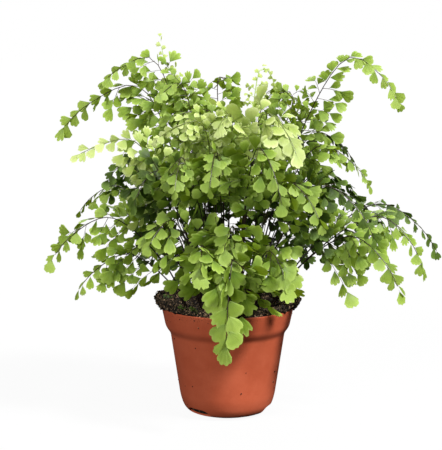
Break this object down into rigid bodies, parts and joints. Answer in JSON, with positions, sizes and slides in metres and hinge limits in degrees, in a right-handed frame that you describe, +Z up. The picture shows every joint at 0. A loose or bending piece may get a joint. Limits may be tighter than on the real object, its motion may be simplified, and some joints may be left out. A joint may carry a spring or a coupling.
{
  "type": "potted maidenhair fern",
  "caption": "Maidenhair fern with arching sprays of small fan-shaped leaflets on wiry dark stalks, growing in peat in a tapered nursery pot that stands on a flat base.",
  "frame": {"origin": "middle of the underside of the pot, on the surface that it stands on", "axes": "+Z up along the pot's axis, +X to the right of the picture, +Y away from its viewer"},
  "size_m": [0.3608, 0.263, 0.3464],
  "materials": {
    "pot": "satin",
    "soil": "matte",
    "leaf_young": "satin",
    "leaf_grown": "satin",
    "leaf_deep": "satin",
    "stalk": "satin"
  },
  "bodies": {
    "root": {"pot": "pot", "soil": "soil", "frond_top_young": "leaf_young", "frond_top_left_arch": "leaf_grown", "frond_top_left_inner": "leaf_grown", "frond_left_high": "leaf_grown", "frond_left_pale": "leaf_young", "frond_left_middle": "leaf_deep", "frond_left_back": "leaf_deep", "frond_left_low": "leaf_grown", "frond_left_lowest": "leaf_deep", "frond_left_front": "leaf_grown", "frond_back_high_left": "leaf_grown", "frond_back_high": "leaf_grown", "frond_back_high_right": "leaf_grown", "frond_back_left": "leaf_deep", "frond_back_middle_left": "leaf_deep", "frond_back_middle_right": "leaf_deep", "frond_back_right": "leaf_deep", "frond_back_low_left": "leaf_deep", "frond_back_low": "leaf_deep", "frond_back_low_right": "leaf_deep", "frond_crown_left": "leaf_grown", "frond_crown_right": "leaf_grown", "frond_young_curl": "leaf_young", "frond_young_shoot": "leaf_young", "frond_pale_front_left": "leaf_young", "frond_pale_front_middle": "leaf_young", "frond_pale_front_right": "leaf_young", "frond_centre_hanging": "leaf_grown", "frond_centre": "leaf_grown", "frond_centre_left": "leaf_grown", "frond_centre_left_low": "leaf_deep", "frond_right_of_centre": "leaf_grown", "frond_right_high": "leaf_grown", "frond_right_high_spray": "leaf_grown", "frond_right_shoulder": "leaf_deep", "frond_right_shoulder_low": "leaf_grown", "frond_right_far": "leaf_deep", "frond_right_middle": "leaf_grown", "frond_right_low": "leaf_grown", "frond_right_far_low": "leaf_grown", "frond_right_rim": "leaf_young", "frond_front_hanging": "leaf_grown", "frond_front_left": "leaf_grown", "frond_front_right": "leaf_grown", "frond_front_middle": "leaf_deep"}
  },
  "joints": []
}
